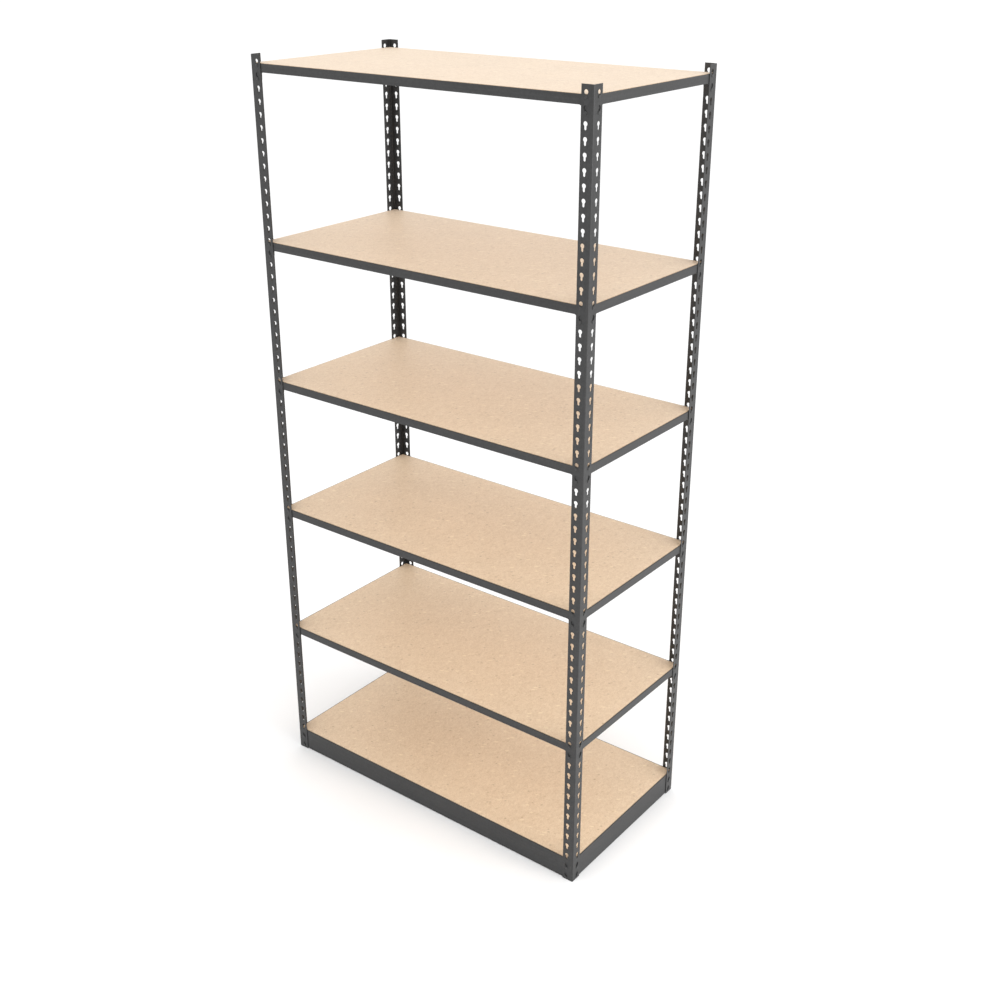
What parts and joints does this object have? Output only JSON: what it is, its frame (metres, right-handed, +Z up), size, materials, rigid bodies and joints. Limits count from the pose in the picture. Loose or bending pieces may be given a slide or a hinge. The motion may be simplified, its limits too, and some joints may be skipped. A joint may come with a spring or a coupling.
{
  "type": "boltless steel shelving",
  "caption": "Free-standing boltless shelving: keyholed angle posts, riveted beams that hook into them and particle board shelves.",
  "frame": {"origin": "on the floor at the middle of the footprint", "axes": "+Z up, +X along the width to the right as seen from the front, -Y towards the front"},
  "size_m": [1.2234, 0.6138, 2.4384],
  "materials": {
    "post_steel": "charcoal powder coat, satin",
    "beam_steel": "charcoal powder coat, satin",
    "rivet": "charcoal coated steel, satin",
    "board": "raw sanded particle board"
  },
  "bodies": {
    "frame": {"post_front_left": "post_steel", "post_front_right": "post_steel", "post_back_left": "post_steel", "post_back_right": "post_steel"},
    "shelf_1": {"beam_1_front": "beam_steel", "beam_1_right": "beam_steel", "beam_1_back": "beam_steel", "beam_1_left": "beam_steel", "rivets_1": "rivet"},
    "deck_1": {"board_1": "board"},
    "shelf_2": {"beam_2_front": "beam_steel", "beam_2_right": "beam_steel", "beam_2_back": "beam_steel", "beam_2_left": "beam_steel", "rivets_2": "rivet"},
    "deck_2": {"board_2": "board"},
    "shelf_3": {"beam_3_front": "beam_steel", "beam_3_right": "beam_steel", "beam_3_back": "beam_steel", "beam_3_left": "beam_steel", "rivets_3": "rivet"},
    "deck_3": {"board_3": "board"},
    "shelf_4": {"beam_4_front": "beam_steel", "beam_4_right": "beam_steel", "beam_4_back": "beam_steel", "beam_4_left": "beam_steel", "rivets_4": "rivet"},
    "deck_4": {"board_4": "board"},
    "shelf_5": {"beam_5_front": "beam_steel", "beam_5_right": "beam_steel", "beam_5_back": "beam_steel", "beam_5_left": "beam_steel", "rivets_5": "rivet"},
    "deck_5": {"board_5": "board"},
    "shelf_6": {"beam_6_front": "beam_steel", "beam_6_right": "beam_steel", "beam_6_back": "beam_steel", "beam_6_left": "beam_steel", "rivets_6": "rivet"},
    "deck_6": {"board_6": "board"}
  },
  "joints": [
    {"name": "shelf_1_unhook", "type": "slide", "parent": "frame", "child": "shelf_1", "axis": [0, 0, 1], "range_m": [0, 0.012]},
    {"name": "board_1_lift", "type": "slide", "parent": "shelf_1", "child": "deck_1", "axis": [0, 0, 1], "range_m": [0, 0.15]},
    {"name": "shelf_2_unhook", "type": "slide", "parent": "frame", "child": "shelf_2", "axis": [0, 0, 1], "range_m": [0, 0.012]},
    {"name": "board_2_lift", "type": "slide", "parent": "shelf_2", "child": "deck_2", "axis": [0, 0, 1], "range_m": [0, 0.15]},
    {"name": "shelf_3_unhook", "type": "slide", "parent": "frame", "child": "shelf_3", "axis": [0, 0, 1], "range_m": [0, 0.012]},
    {"name": "board_3_lift", "type": "slide", "parent": "shelf_3", "child": "deck_3", "axis": [0, 0, 1], "range_m": [0, 0.15]},
    {"name": "shelf_4_unhook", "type": "slide", "parent": "frame", "child": "shelf_4", "axis": [0, 0, 1], "range_m": [0, 0.012]},
    {"name": "board_4_lift", "type": "slide", "parent": "shelf_4", "child": "deck_4", "axis": [0, 0, 1], "range_m": [0, 0.15]},
    {"name": "shelf_5_unhook", "type": "slide", "parent": "frame", "child": "shelf_5", "axis": [0, 0, 1], "range_m": [0, 0.012]},
    {"name": "board_5_lift", "type": "slide", "parent": "shelf_5", "child": "deck_5", "axis": [0, 0, 1], "range_m": [0, 0.15]},
    {"name": "shelf_6_unhook", "type": "slide", "parent": "frame", "child": "shelf_6", "axis": [0, 0, 1], "range_m": [0, 0.012]},
    {"name": "board_6_lift", "type": "slide", "parent": "shelf_6", "child": "deck_6", "axis": [0, 0, 1], "range_m": [0, 0.15]}
  ]
}
